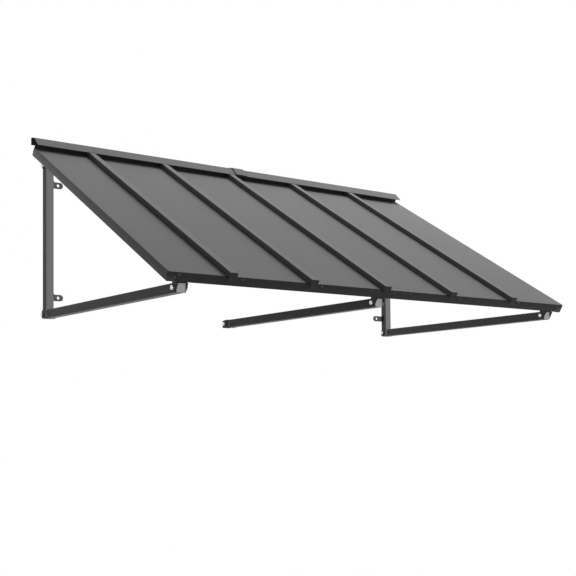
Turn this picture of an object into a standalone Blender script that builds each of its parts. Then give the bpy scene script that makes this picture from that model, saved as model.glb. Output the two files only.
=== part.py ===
"""Metal awning with a standing seam roof on a square tube frame.

World axes: X runs along the wall, +Y points into the wall and +Z points up. The origin is
the centre of the bounding box's bottom. Metres throughout.
"""
from math import cos, hypot, pi, radians, sin

import bmesh
import bpy
from mathutils import Euler, Matrix, Vector

# Overall size
ROOF_WIDTH = 1.727
ROOF_REACH = 0.945
ROOF_PITCH = radians(30.9)
RAFTER_OFF_WALL = 0.0093

# Square tube of the frame
TUBE = 0.030
TUBE_WALL = 0.0015
TUBE_CORNER = 0.0025
SLEEVE_LENGTH = 0.220
SLEEVE_WALL = 0.0015

# Clearances
GAP = 0.0003
EAR_CLEARANCE = 0.0005
YOKE_CLEARANCE = 0.0010
POST_CLEARANCE = 0.0015

# Roof sheet, seams and battens
SHEET = 0.0010
FOLD_RADIUS = 0.0015
FOLD_RELIEF = 0.0030
SEAM_COUNT = 5
FIRST_SEAM = 0.2134
SEAM_PITCH = 0.3048
DRIP_FOLD = 0.0110
SIDE_FOLD = 0.0140
TOP_UPSTAND = 0.0120
BATTEN_WIDTH = 0.0255
BATTEN_HEIGHT = 0.0175
BATTEN_NOSE = 0.0140
BATTEN_SHORT_OF_TOP = 0.0125
CAP_FACE = 0.0015
CAP_BEVEL = 0.0005
CAP_OVERHANG = 0.0010
CAP_DROP = 0.0070
CAP_SPIGOT = 0.0100

# Head flashing
FLASHING_MARGIN = 0.0015
FLASHING_LAP = 0.0276
FLASHING_FACE = 0.0455
FLASHING_FACE_ANGLE = radians(45.0)
FLASHING_FALL = 0.0050
FLASHING_WALL_LEG = 0.0260
FLASHING_JOINT_X = 0.0070
STRAP_WIDTH = 0.0500
STRAP_THICKNESS = 0.0030

# Posts, arms and their brackets
POST_INSET = 0.0600
BRACKET_PLATE = 0.0030
YOKE_PLATE = 0.0040
EDGE_MARGIN = 0.0010
RAIL_EAR_TIP = 0.0110
RAIL_EAR_CORNER = 0.0050
YOKE_TIP_RADIUS = 0.0120
ARM_CLEARANCE = 0.0015
HOLE_EDGE = 0.0007
WALL_PIVOT = 0.0276
WALL_PLATE = 0.0030
CLIP_PLATE = 0.0030
CLIP_HEIGHT = 0.0230
CLIP_DEPTH = 0.0260
CLIP_LENGTH = 0.0480
CLIP_HOLE_AT = 0.0293
CLIP_HOLE_RADIUS = 0.0055
LOWER_CLIP_HEIGHT = 0.0775
UPPER_CLIP_DROP = 0.0770
WALL_HOLE_RADIUS = 0.0040

# Plugs
PLUG_FLANGE = 0.0020
PLUG_DEPTH = 0.0045

# Pivot bolts and nuts
BOLT_RADIUS = 0.0040
BOLT_HOLE_RADIUS = 0.0045
BOLT_HEAD = 0.0053
BOLT_FLATS = 0.0130
BOLT_TAIL = 0.0020
WASHER_RADIUS = 0.0080
WASHER_THICKNESS = 0.0016
NUT_HEIGHT = 0.0065

# Facets
ROUND_SIDES = 18
HOLE_SIDES = 12
CORNER_SEGMENTS = 2
TIP_SEGMENTS = 5

# Turns that point a piece's own +Z along a world or roof direction
TURNS = {
    "+X": (0.0, pi / 2, 0.0),
    "+Y": (-pi / 2, 0.0, 0.0),
    "-Y": (pi / 2, 0.0, 0.0),
    "+Z": (0.0, 0.0, 0.0),
    "-Z": (pi, 0.0, 0.0),
}

# Heights above the frame's top plane, measured square to the roof
PAN_TOP = GAP + SHEET
PAN_MIDDLE = GAP + SHEET / 2
BATTEN_TOP = PAN_TOP + BATTEN_HEIGHT

# Brackets and yokes, from the pivot: the arm's front corner swings clear of the bracket's base
ARM_OVERHANG = BOLT_HOLE_RADIUS + HOLE_EDGE + PLUG_DEPTH + GAP + PLUG_FLANGE
BRACKET_DROP = hypot(ARM_OVERHANG, TUBE / 2) + ARM_CLEARANCE + BRACKET_PLATE + GAP
BRACKET_WIDTH = TUBE - 2 * EDGE_MARGIN
BRACKET_TIP = BRACKET_WIDTH / 2 - EDGE_MARGIN
YOKE_TIP = TUBE / 2 - EDGE_MARGIN
YOKE_WEB = TUBE / 2 + POST_CLEARANCE

# The arms lie level, with their undersides at the lowest level of the part
PIVOT_Z = TUBE / 2
PIVOT_BELOW_ROOF = TUBE + BRACKET_DROP
RAIL_MIDDLE = TUBE / 2
ROOF_Z = PIVOT_Z - RAIL_MIDDLE * sin(ROOF_PITCH) + PIVOT_BELOW_ROOF * cos(ROOF_PITCH)
NOSE_FRONT = BATTEN_NOSE + GAP + CAP_FACE
CAP_TOP = BATTEN_TOP + CAP_OVERHANG
CAP_EDGE = CAP_BEVEL * min(sin(ROOF_PITCH), cos(ROOF_PITCH))
ROOF_FRONT = ROOF_REACH + NOSE_FRONT * cos(ROOF_PITCH) + CAP_TOP * sin(ROOF_PITCH) - CAP_EDGE
WALL_Y = ROOF_FRONT / 2


def roof_to_wall(along, above):
    """Distance from the wall and height of a point in the roof's side view."""
    out = ROOF_REACH - along * cos(ROOF_PITCH) + above * sin(ROOF_PITCH)
    height = ROOF_Z + along * sin(ROOF_PITCH) + above * cos(ROOF_PITCH)
    return out, height


def up_the_roof(out, above):
    """Distance up the slope at which a line parallel to the roof is `out` from the wall."""
    return (ROOF_REACH + above * sin(ROOF_PITCH) - out) / cos(ROOF_PITCH)


# Lengths up the slope, from the roof's front edge
RAFTER_LENGTH = up_the_roof(RAFTER_OFF_WALL, -TUBE)
BATTEN_TOP_END = RAFTER_LENGTH - BATTEN_SHORT_OF_TOP
FLASHING_LIP_AT = RAFTER_LENGTH - FLASHING_LAP

# Joint axes, as distance from the wall and height
POST_PIVOT_OUT = TUBE / 2
HEADER_MIDDLE = up_the_roof(POST_PIVOT_OUT, -PIVOT_BELOW_ROOF)
FRONT_PIVOT = roof_to_wall(RAIL_MIDDLE, -PIVOT_BELOW_ROOF)
HEAD_PIVOT = roof_to_wall(HEADER_MIDDLE, -PIVOT_BELOW_ROOF)
BRACKET_FACE = -(TUBE + GAP + BRACKET_PLATE)
POST_TOP = roof_to_wall(up_the_roof(TUBE, BRACKET_FACE), BRACKET_FACE)[1] - POST_CLEARANCE
CLIP_HEIGHTS = (LOWER_CLIP_HEIGHT, POST_TOP - UPPER_CLIP_DROP)

# Places along the wall
SEAMS = [-ROOF_WIDTH / 2 + FIRST_SEAM + index * SEAM_PITCH for index in range(SEAM_COUNT)]
MIDDLE_X = SEAMS[SEAM_COUNT // 2]
POSTS = {"left": -ROOF_WIDTH / 2 + POST_INSET, "right": ROOF_WIDTH / 2 - POST_INSET}
ARMS = {"left": POSTS["left"], "centre": MIDDLE_X, "right": POSTS["right"]}
RAFTER_FACE = ROOF_WIDTH / 2 - SHEET - GAP
RAFTERS = {"left": -RAFTER_FACE + TUBE / 2, "centre": MIDDLE_X, "right": RAFTER_FACE - TUBE / 2}


def clear_scene():
    """Remove whatever the scene holds."""
    for old in list(bpy.data.objects):
        bpy.data.objects.remove(old, do_unlink=True)


def make_material(name, colour, roughness, metallic):
    """A plain Principled BSDF."""
    material = bpy.data.materials.new(name)
    material.use_nodes = True
    shader = material.node_tree.nodes["Principled BSDF"]
    shader.inputs["Base Color"].default_value = (*colour, 1.0)
    shader.inputs["Roughness"].default_value = roughness
    shader.inputs["Metallic"].default_value = metallic
    return material


def link(name, mesh, material, smooth_angle=None):
    """Put a mesh into the scene as a named object."""
    if not mesh.materials:
        mesh.materials.append(material)
    if smooth_angle is not None:
        mesh.shade_smooth()
        mesh.set_sharp_from_angle(angle=smooth_angle)
    item = bpy.data.objects.new(name, mesh)
    bpy.context.scene.collection.objects.link(item)
    return item


def place(item, position, turn=(0.0, 0.0, 0.0), parent=None):
    """Set an object's place, in the frame of its parent if it has one."""
    item.location = position
    item.rotation_euler = turn
    item.parent = parent
    return item


def world_point(x, out, height):
    """World coordinates of a point given by its distance from the wall."""
    return Vector((x, WALL_Y - out, height))


def rounded_square(side, radius, segments=CORNER_SEGMENTS):
    """Outline of a square with round corners, counter-clockwise."""
    points = []
    inset = side / 2 - radius
    for quarter in range(4):
        corner = Matrix.Rotation(quarter * pi / 2, 2) @ Vector((inset, inset))
        for step in range(segments + 1):
            angle = quarter * pi / 2 + step * pi / 2 / segments
            points.append(corner + Vector((cos(angle), sin(angle))) * radius)
    return points


def circle(radius, sides=ROUND_SIDES):
    """Outline of a circle."""
    return [Vector((cos(2 * pi * i / sides), sin(2 * pi * i / sides))) * radius for i in range(sides)]


def hexagon(flats, sides=ROUND_SIDES):
    """Outline of a hexagon, with extra points along its sides."""
    points = []
    for index in range(sides):
        angle = 2 * pi * index / sides
        from_flat = (angle + pi / 6) % (pi / 3) - pi / 6
        points.append(Vector((cos(angle), sin(angle))) * flats / 2 / cos(from_flat))
    return points


def loft(levels):
    """Closed mesh through outlines with the same number of points, at rising heights."""
    shape = bmesh.new()
    rings = []
    for outline, height in levels:
        rings.append([shape.verts.new((point.x, point.y, height)) for point in outline])
    for lower, upper in zip(rings, rings[1:]):
        bridge(shape, lower, upper)
    shape.faces.new(list(reversed(rings[0])))
    shape.faces.new(rings[-1])
    return finished_mesh(shape)


def pipe(outer, inner, length):
    """Closed mesh of a tube with open ends, from z = 0 to its length."""
    shape = bmesh.new()
    rings = []
    for outline, height in ((outer, 0.0), (outer, length), (inner, length), (inner, 0.0)):
        rings.append([shape.verts.new((point.x, point.y, height)) for point in outline])
    for index, ring in enumerate(rings):
        bridge(shape, ring, rings[(index + 1) % len(rings)])
    return finished_mesh(shape)


def bridge(shape, lower, upper):
    """Join two rings of vertices with quads."""
    count = len(lower)
    for index in range(count):
        after = (index + 1) % count
        shape.faces.new((lower[index], lower[after], upper[after], upper[index]))


def finished_mesh(shape):
    """Turn a bmesh into a mesh whose faces point outwards."""
    bmesh.ops.recalc_face_normals(shape, faces=shape.faces)
    mesh = bpy.data.meshes.new("shape")
    shape.to_mesh(mesh)
    shape.free()
    return mesh


def sheet_metal(name, panels, thickness, material, fold_radius=FOLD_RADIUS):
    """A folded sheet: flat panels that share their fold lines, given a bend and a thickness.

    The panels lie in the middle of the sheet.
    """
    shape = bmesh.new()
    for panel in panels:
        shape.faces.new([shape.verts.new(point) for point in panel])
    bmesh.ops.remove_doubles(shape, verts=shape.verts, dist=GAP / 10)
    item = link(name, finished_mesh(shape), material, radians(30))
    bend = item.modifiers.new("Bend", "BEVEL")
    bend.limit_method = "ANGLE"
    bend.angle_limit = radians(20)
    bend.width = fold_radius
    bend.segments = 2
    wall = item.modifiers.new("Thickness", "SOLIDIFY")
    wall.thickness = thickness
    wall.offset = 0.0
    wall.use_even_offset = True
    return item


def cut(item, cutter):
    """Subtract a cutter object."""
    hole = item.modifiers.new("Holes", "BOOLEAN")
    hole.operation = "DIFFERENCE"
    hole.solver = "EXACT"
    hole.object = cutter


def weld(item, other):
    """Join another object's shape to this one, and hide the other."""
    seam = item.modifiers.new("Weld", "BOOLEAN")
    seam.operation = "UNION"
    seam.solver = "EXACT"
    seam.object = other
    hide(other)


def hide(guide):
    """Mark a cutter or a guide as no piece of its own."""
    guide.hide_render = True
    guide.display_type = "WIRE"


def pin_cutter(name, pins, material):
    """One cutter made of round pins: (centre, direction, radius, length) each."""
    shape = bmesh.new()
    for centre, direction, radius, length in pins:
        outline = circle(radius, HOLE_SIDES)
        pin = loft([(outline, -length / 2), (outline, length / 2)])
        pin.transform(Matrix.Translation(centre) @ Euler(TURNS[direction]).to_matrix().to_4x4())
        shape.from_mesh(pin)
        bpy.data.meshes.remove(pin)
    cutter = link(name, finished_mesh(shape), material)
    hide(cutter)
    return cutter


def square_tube(name, start, length, direction, material, parent=None):
    """A length of the frame's tube, running from start along a direction."""
    outer = rounded_square(TUBE, TUBE_CORNER)
    inner = rounded_square(TUBE - 2 * TUBE_WALL, TUBE_CORNER - TUBE_WALL)
    item = link(name, pipe(outer, inner, length), material, radians(50))
    return place(item, start, TURNS[direction], parent)


def joint_sleeve(name, middle, material, parent):
    """The short inner tube that joins two lengths of tube end to end."""
    side = TUBE - 2 * TUBE_WALL - 2 * GAP
    corner = TUBE_CORNER - TUBE_WALL
    outer = rounded_square(side, corner)
    inner = rounded_square(side - 2 * SLEEVE_WALL, corner / 2)
    item = link(name, pipe(outer, inner, SLEEVE_LENGTH), material, radians(50))
    start = middle - Vector((SLEEVE_LENGTH / 2, 0.0, 0.0))
    return place(item, start, TURNS["+X"], parent)


def tube_plug(name, end, direction, material, parent=None):
    """A moulded plug: its flange covers the tube's end, which lies a gap below `end`."""
    side = TUBE - 2 * TUBE_WALL - 2 * GAP
    corner = TUBE_CORNER - TUBE_WALL
    flange = rounded_square(TUBE, TUBE_CORNER)
    spigot = rounded_square(side, corner)
    tip = rounded_square(side - corner, corner / 2)
    mesh = loft([
        (tip, -PLUG_DEPTH),
        (spigot, -PLUG_DEPTH + corner),
        (spigot, GAP),
        (flange, GAP),
        (flange, GAP + PLUG_FLANGE - corner / 2),
        (rounded_square(TUBE - corner, TUBE_CORNER), GAP + PLUG_FLANGE),
    ])
    return place(link(name, mesh, material, radians(30)), end, TURNS[direction], parent)


def roof_pan(index, left, right, roof, material):
    """One pan: flat, legs at the seams, drip fold in front, upstand at the top."""
    leg = BATTEN_WIDTH / 2 - SHEET - GAP - SHEET / 2
    leg_top = BATTEN_TOP - SHEET - FOLD_RADIUS
    is_first = index == 0
    is_last = index == SEAM_COUNT
    left_x = left + SHEET / 2 if is_first else left + leg
    right_x = right - SHEET / 2 if is_last else right - leg
    left_edge = -SIDE_FOLD if is_first else leg_top
    right_edge = -SIDE_FOLD if is_last else leg_top
    front = -(GAP + SHEET / 2)
    back = RAFTER_LENGTH
    low = PAN_MIDDLE
    inner_left = left_x + FOLD_RELIEF
    inner_right = right_x - FOLD_RELIEF
    inner_front = front + FOLD_RELIEF
    inner_back = back - FOLD_RELIEF
    panels = [
        [(left_x, inner_front, low), (inner_left, inner_front, low), (inner_left, front, low),
         (inner_right, front, low), (inner_right, inner_front, low), (right_x, inner_front, low),
         (right_x, inner_back, low), (inner_right, inner_back, low), (inner_right, back, low),
         (inner_left, back, low), (inner_left, inner_back, low), (left_x, inner_back, low)],
        [(left_x, inner_front, low), (left_x, inner_back, low),
         (left_x, inner_back, left_edge), (left_x, inner_front, left_edge)],
        [(right_x, inner_front, low), (right_x, inner_front, right_edge),
         (right_x, inner_back, right_edge), (right_x, inner_back, low)],
        [(inner_left, front, low), (inner_left, front, -DRIP_FOLD),
         (inner_right, front, -DRIP_FOLD), (inner_right, front, low)],
        [(inner_left, back, low), (inner_right, back, low),
         (inner_right, back, TOP_UPSTAND), (inner_left, back, TOP_UPSTAND)],
    ]
    item = sheet_metal(f"roof_pan_{index + 1}", panels, SHEET, material)
    return place(item, (0.0, 0.0, 0.0), parent=roof)


def seam_batten(index, x, roof, material):
    """The channel that covers the legs of two neighbouring pans."""
    half = BATTEN_WIDTH / 2 - SHEET / 2
    foot = PAN_TOP + FOLD_RADIUS / 2
    top = BATTEN_TOP - SHEET / 2
    front = -BATTEN_NOSE
    back = BATTEN_TOP_END
    panels = [
        [(-half, front, foot), (-half, back, foot), (-half, back, top), (-half, front, top)],
        [(-half, front, top), (-half, back, top), (half, back, top), (half, front, top)],
        [(half, front, top), (half, back, top), (half, back, foot), (half, front, foot)],
    ]
    item = sheet_metal(f"seam_batten_{index + 1}", panels, SHEET, material)
    return place(item, (x, 0.0, 0.0), parent=roof)


def batten_cap(index, x, roof, material):
    """The moulded closure in a batten's nose: a face plate with a spigot behind it."""
    half = BATTEN_WIDTH / 2 + CAP_OVERHANG
    inner_half = BATTEN_WIDTH / 2 - SHEET - GAP
    inner_foot = PAN_TOP + FOLD_RADIUS / 2
    inner_top = BATTEN_TOP - SHEET - GAP
    bevel = CAP_BEVEL
    round_off = CAP_OVERHANG

    def plate(inset, y):
        low = -CAP_DROP + inset
        high = CAP_TOP - inset
        wide = half - inset
        cut_corner = round_off - inset / 2
        outline = [(-wide, low), (wide, low), (wide, high - cut_corner), (wide - cut_corner, high),
                   (-wide + cut_corner, high), (-wide, high - cut_corner)]
        return [Vector((across, up)) for across, up in outline], y

    def spigot(inset, y):
        low = inner_foot + inset
        high = inner_top - inset
        wide = inner_half - inset
        outline = [(-wide, low), (wide, low), (wide, high - bevel), (wide - bevel, high),
                   (-wide + bevel, high), (-wide, high - bevel)]
        return [Vector((across, up)) for across, up in outline], y

    mesh = loft([
        spigot(bevel, -CAP_SPIGOT),
        spigot(0.0, -CAP_SPIGOT + bevel),
        spigot(0.0, GAP),
        plate(0.0, GAP),
        plate(0.0, GAP + CAP_FACE - bevel),
        plate(bevel, GAP + CAP_FACE),
    ])
    item = link(f"batten_cap_{index + 1}", mesh, material, radians(30))
    return place(item, (x, -BATTEN_NOSE, 0.0), TURNS["-Y"], roof)


def flashing_line(offset=0.0):
    """Side view of the head flashing's middle line, moved outwards by an offset.

    Four points as (distance from the wall, height): wall leg, its top, front edge, lip.
    """
    lip = roof_to_wall(FLASHING_LIP_AT, BATTEN_TOP + GAP + SHEET / 2)
    front = (lip[0] - FLASHING_FACE * cos(FLASHING_FACE_ANGLE),
             lip[1] + FLASHING_FACE * sin(FLASHING_FACE_ANGLE))
    wall_top = (SHEET / 2, front[1] + FLASHING_FALL)
    wall_foot = (SHEET / 2, wall_top[1] - FLASHING_WALL_LEG)
    line = [Vector(wall_top), Vector(front), Vector(lip)]
    if offset == 0.0:
        return [Vector(wall_foot)] + line
    shelf_normal = outward_normal(line[0], line[1])
    face_normal = outward_normal(line[1], line[2])
    mitre = (shelf_normal + face_normal) / (1 + shelf_normal.dot(face_normal))
    return [line[0] + shelf_normal * offset, line[1] + mitre * offset, line[2] + face_normal * offset]


def outward_normal(start, end):
    """Unit normal on the weather side of a stretch of the flashing's line."""
    run = (end - start).normalized()
    return Vector((-run.y, run.x))


def folded_strip(name, line, left, right, thickness, material):
    """A sheet that follows a line in the side view between two places along the wall."""
    panels = []
    for start, end in zip(line, line[1:]):
        panels.append([
            world_point(left, *start),
            world_point(left, *end),
            world_point(right, *end),
            world_point(right, *start),
        ])
    return sheet_metal(name, panels, thickness, material)


def head_flashing(material):
    """The two lengths of flashing and the strap over their joint."""
    end = ROOF_WIDTH / 2 - FLASHING_MARGIN
    line = flashing_line()
    folded_strip("flashing_left", line, -end, FLASHING_JOINT_X - GAP / 2, SHEET, material)
    folded_strip("flashing_right", line, FLASHING_JOINT_X + GAP / 2, end, SHEET, material)
    strap_line = flashing_line(SHEET / 2 + GAP + STRAP_THICKNESS / 2)
    start = FLASHING_JOINT_X - STRAP_WIDTH / 2
    finish = FLASHING_JOINT_X + STRAP_WIDTH / 2
    folded_strip("flashing_strap", strap_line, start, finish, STRAP_THICKNESS, material)


def ear_outline(half_width, fold, tip, radius):
    """Outline of an ear: straight from the fold, with a rounded tip past the pivot."""
    points = [(half_width, fold), (-half_width, fold)]
    centre_y = half_width - radius
    centre_z = -tip + radius
    for side in (-1, 1):
        for step in range(TIP_SEGMENTS + 1):
            angle = step * pi / 2 / TIP_SEGMENTS
            if side < 0:
                y = -centre_y - radius * cos(angle)
                z = centre_z - radius * sin(angle)
            else:
                y = centre_y + radius * sin(angle)
                z = centre_z - radius * cos(angle)
            points.append((y, z))
    return points


def u_bracket(name, gap_width, plate, fold, half_width, tip, radius, material):
    """A U of plate: ears square to X with the pivot at the object's origin, base towards +Z."""
    half = gap_width / 2 + plate / 2
    middle = fold + plate / 2
    ear = ear_outline(half_width, middle, tip, radius)
    panels = [
        [(-half, -half_width, middle), (half, -half_width, middle),
         (half, half_width, middle), (-half, half_width, middle)],
        [(-half, y, z) for y, z in ear],
        [(half, y, z) for y, z in reversed(ear)],
    ]
    return sheet_metal(name, panels, plate, material, plate)


def tube_bracket(name, pivot, tip, corner, holes, material):
    """The bracket that hangs square to the roof from the rail or the header.

    Its ears end a distance past the pivot, with corners of a given radius.
    """
    gap_width = TUBE + 2 * EAR_CLEARANCE
    fold = BRACKET_DROP - GAP - BRACKET_PLATE
    item = u_bracket(name, gap_width, BRACKET_PLATE, fold, BRACKET_WIDTH / 2, tip, corner, material)
    cut(item, holes)
    return place(item, pivot, (ROOF_PITCH, 0.0, 0.0))


def arm_yoke(name, pivot, material, parent=None):
    """The U that is welded to an arm's rear end, open towards the wall."""
    gap_width = TUBE + 2 * YOKE_CLEARANCE
    item = u_bracket(name, gap_width, YOKE_PLATE, YOKE_WEB, TUBE / 2,
                     YOKE_TIP, YOKE_TIP_RADIUS, material)
    return place(item, pivot, TURNS["-Y"], parent)


def wall_bracket(name, pivot, pivot_holes, wall_holes, material):
    """The U on the wall that the middle arm's yoke is bolted to."""
    gap_width = TUBE - 2 * WALL_PLATE
    fold = WALL_PIVOT - WALL_PLATE
    item = u_bracket(name, gap_width, WALL_PLATE, fold, BRACKET_WIDTH / 2,
                     YOKE_TIP, YOKE_TIP_RADIUS, material)
    cut(item, pivot_holes)
    cut(item, wall_holes)
    return place(item, pivot, TURNS["+Y"])


def wall_clip(name, side, height, holes, material):
    """An angle clip: one leg on the post's inner face, the other flat on the wall."""
    inward = 1 if side == "left" else -1
    face = POSTS[side] + inward * TUBE / 2
    fold = GAP + CLIP_PLATE / 2
    radius = CLIP_HEIGHT / 2
    wall_leg = [(fold, -radius), (CLIP_LENGTH - radius, -radius)]
    for step in range(1, 2 * TIP_SEGMENTS + 1):
        angle = -pi / 2 + step * pi / 2 / TIP_SEGMENTS
        wall_leg.append((CLIP_LENGTH - radius + radius * cos(angle), radius * sin(angle)))
    wall_leg.append((fold, radius))
    on_wall = CLIP_PLATE / 2
    panels = [
        [world_point(face + inward * x, on_wall, height + z) for x, z in wall_leg],
        [world_point(face + inward * fold, on_wall, height + radius),
         world_point(face + inward * fold, CLIP_DEPTH, height + radius),
         world_point(face + inward * fold, CLIP_DEPTH, height - radius),
         world_point(face + inward * fold, on_wall, height - radius)],
    ]
    item = sheet_metal(name, panels, CLIP_PLATE, material, CLIP_PLATE)
    cut(item, holes)
    return item


def bolt_mesh(half_grip):
    """A tightened bolt with its washers and nut, along Z and centred on what it clamps."""
    washer = circle(WASHER_RADIUS)
    hexagonal = hexagon(BOLT_FLATS)
    shank = circle(BOLT_RADIUS)
    head_chamfer = BOLT_HEAD / 6
    nut_chamfer = NUT_HEIGHT / 8
    seat = half_grip + GAP
    under_head = -seat - WASHER_THICKNESS
    under_nut = seat + WASHER_THICKNESS
    nut_top = under_nut + NUT_HEIGHT
    tail = nut_top + BOLT_TAIL
    return loft([
        (circle(BOLT_FLATS / 2 - head_chamfer), under_head - BOLT_HEAD),
        (hexagonal, under_head - BOLT_HEAD + head_chamfer),
        (hexagonal, under_head),
        (washer, under_head),
        (washer, -seat),
        (shank, -seat),
        (shank, seat),
        (washer, seat),
        (washer, under_nut),
        (hexagonal, under_nut),
        (hexagonal, nut_top - nut_chamfer),
        (circle(BOLT_FLATS / 2 - nut_chamfer), nut_top),
        (shank, nut_top),
        (shank, tail - BOLT_RADIUS / 4),
        (circle(BOLT_RADIUS * 0.75), tail),
    ])


def pivot_bolt(name, mesh, pivot, material, parent=None):
    """A bolt on a joint's axis, its head on the side of -X. Bolts of one grip share a mesh."""
    item = link(name, mesh, material, radians(30))
    return place(item, pivot, TURNS["+X"], parent)


def build_frame(roof, tube_material, plug_material):
    """Rafters, front rail and header, in the roof's own axes."""
    middle = -TUBE / 2
    plug_room = GAP + PLUG_FLANGE
    for side, x in RAFTERS.items():
        if side == "centre":
            start = TUBE + GAP
            end = HEADER_MIDDLE - TUBE / 2 - GAP
            square_tube("rafter_centre", (x, start, middle), end - start, "+Y", tube_material, roof)
            continue
        length = RAFTER_LENGTH - 2 * plug_room
        square_tube(f"rafter_{side}", (x, plug_room, middle), length, "+Y", tube_material, roof)
        tube_plug(f"rafter_plug_{side}_front", (x, plug_room, middle), "-Y", plug_material, roof)
        tube_plug(f"rafter_plug_{side}_top", (x, plug_room + length, middle), "+Y", plug_material, roof)
    end = RAFTERS["right"] - TUBE / 2 - GAP
    for name, along in (("front_rail", RAIL_MIDDLE), ("header", HEADER_MIDDLE)):
        length = end - GAP / 2
        square_tube(f"{name}_left", (-end, along, middle), length, "+X", tube_material, roof)
        square_tube(f"{name}_right", (GAP / 2, along, middle), length, "+X", tube_material, roof)
        joint_sleeve(f"{name}_sleeve", Vector((0.0, along, middle)), tube_material, roof)


def build_roof(roof, sheet_material, cap_material):
    """Pans, battens and their closures."""
    edges = [-ROOF_WIDTH / 2] + SEAMS + [ROOF_WIDTH / 2]
    for index, (left, right) in enumerate(zip(edges, edges[1:])):
        roof_pan(index, left, right, roof, sheet_material)
    for index, x in enumerate(SEAMS):
        seam_batten(index, x, roof, sheet_material)
        batten_cap(index, x, roof, cap_material)


def build_post(side, x, pivot_holes, wall_holes, tube_material, plug_material):
    """A post with its foot plug, its two wall clips and its header bracket."""
    foot = GAP + PLUG_FLANGE
    post = square_tube(f"post_{side}", world_point(x, TUBE / 2, foot), POST_TOP - foot, "+Z", tube_material)
    cut(post, pivot_holes)
    tube_plug(f"post_plug_{side}", world_point(x, TUBE / 2, foot), "-Z", plug_material)
    for level, height in zip(("lower", "upper"), CLIP_HEIGHTS):
        wall_clip(f"wall_clip_{side}_{level}", side, height, wall_holes, tube_material)
    head = world_point(x, *HEAD_PIVOT)
    tube_bracket(f"header_bracket_{side}", head, BRACKET_TIP, BRACKET_TIP, pivot_holes, tube_material)


def build_arm(side, x, rear_out, holes, tube_material, plug_material, parent=None):
    """An arm welded to its yoke, with its front plug and rail bracket.

    The parent, if any, sits on the front pivot.
    """
    origin = parent.location if parent else Vector((0.0, 0.0, 0.0))
    rear = rear_out + YOKE_WEB + YOKE_PLATE / 2
    front = FRONT_PIVOT[0] + ARM_OVERHANG - PLUG_FLANGE - GAP
    start = world_point(x, rear, PIVOT_Z) - origin
    end = world_point(x, front, PIVOT_Z) - origin
    arm = square_tube(f"arm_{side}", start, front - rear, "-Y", tube_material, parent)
    weld(arm, arm_yoke(f"yoke_{side}", world_point(x, rear_out, PIVOT_Z) - origin, tube_material, parent))
    cut(arm, holes)
    tube_plug(f"arm_plug_{side}", end, "-Y", plug_material, parent)
    pivot = world_point(x, *FRONT_PIVOT)
    tube_bracket(f"rail_bracket_{side}", pivot, RAIL_EAR_TIP, RAIL_EAR_CORNER, holes, tube_material)


def build_awning():
    """The whole awning."""
    clear_scene()
    coat = make_material("grey satin coat", (0.105, 0.105, 0.108), 0.42, 0.0)
    plastic = make_material("grey plug plastic", (0.16, 0.16, 0.16), 0.55, 0.0)
    zinc = make_material("bright zinc", (0.72, 0.72, 0.72), 0.28, 1.0)

    roof = bpy.data.objects.new("roof_axes", None)
    bpy.context.scene.collection.objects.link(roof)
    place(roof, world_point(0.0, ROOF_REACH, ROOF_Z), (ROOF_PITCH, 0.0, 0.0))

    arm_pivot = bpy.data.objects.new("arm_pivot", None)
    bpy.context.scene.collection.objects.link(arm_pivot)
    place(arm_pivot, world_point(MIDDLE_X, *FRONT_PIVOT))

    pivots = []
    for x in ARMS.values():
        pivots.append(world_point(x, *FRONT_PIVOT))
    for x in POSTS.values():
        pivots.append(world_point(x, *HEAD_PIVOT))
        pivots.append(world_point(x, POST_PIVOT_OUT, PIVOT_Z))
    pivots.append(world_point(MIDDLE_X, WALL_PIVOT, PIVOT_Z))
    pin_length = 2 * TUBE
    pivot_holes = pin_cutter("pivot_hole_cutter", [(p, "+X", BOLT_HOLE_RADIUS, pin_length) for p in pivots], coat)

    fixings = [(world_point(MIDDLE_X, 0.0, PIVOT_Z), "+Y", WALL_HOLE_RADIUS, TUBE / 2)]
    for side, x in POSTS.items():
        reach = TUBE / 2 + CLIP_HOLE_AT
        hole_x = x + reach if side == "left" else x - reach
        for height in CLIP_HEIGHTS:
            fixings.append((world_point(hole_x, 0.0, height), "+Y", CLIP_HOLE_RADIUS, TUBE / 2))
    wall_holes = pin_cutter("wall_hole_cutter", fixings, coat)

    build_frame(roof, coat, plastic)
    build_roof(roof, coat, coat)
    head_flashing(coat)
    for side, x in POSTS.items():
        build_post(side, x, pivot_holes, wall_holes, coat, plastic)
    for side, x in POSTS.items():
        build_arm(side, x, POST_PIVOT_OUT, pivot_holes, coat, plastic)
    build_arm("centre", MIDDLE_X, WALL_PIVOT, pivot_holes, coat, plastic, arm_pivot)
    rear_pivot = world_point(MIDDLE_X, WALL_PIVOT, PIVOT_Z)
    wall_bracket("centre_wall_bracket", rear_pivot, pivot_holes, wall_holes, coat)

    bracket_bolt = bolt_mesh(TUBE / 2 + EAR_CLEARANCE + BRACKET_PLATE)
    yoke_bolt = bolt_mesh(TUBE / 2 + YOKE_CLEARANCE + YOKE_PLATE)
    for side, x in ARMS.items():
        pivot_bolt(f"pivot_bolt_{side}_front", bracket_bolt, world_point(x, *FRONT_PIVOT), zinc)
    for side, x in POSTS.items():
        pivot_bolt(f"pivot_bolt_{side}_head", bracket_bolt, world_point(x, *HEAD_PIVOT), zinc)
        pivot_bolt(f"pivot_bolt_{side}_foot", yoke_bolt, world_point(x, POST_PIVOT_OUT, PIVOT_Z), zinc)
    pivot_bolt("pivot_bolt_centre_wall", yoke_bolt, rear_pivot - arm_pivot.location, zinc, arm_pivot)


build_awning()
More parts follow.
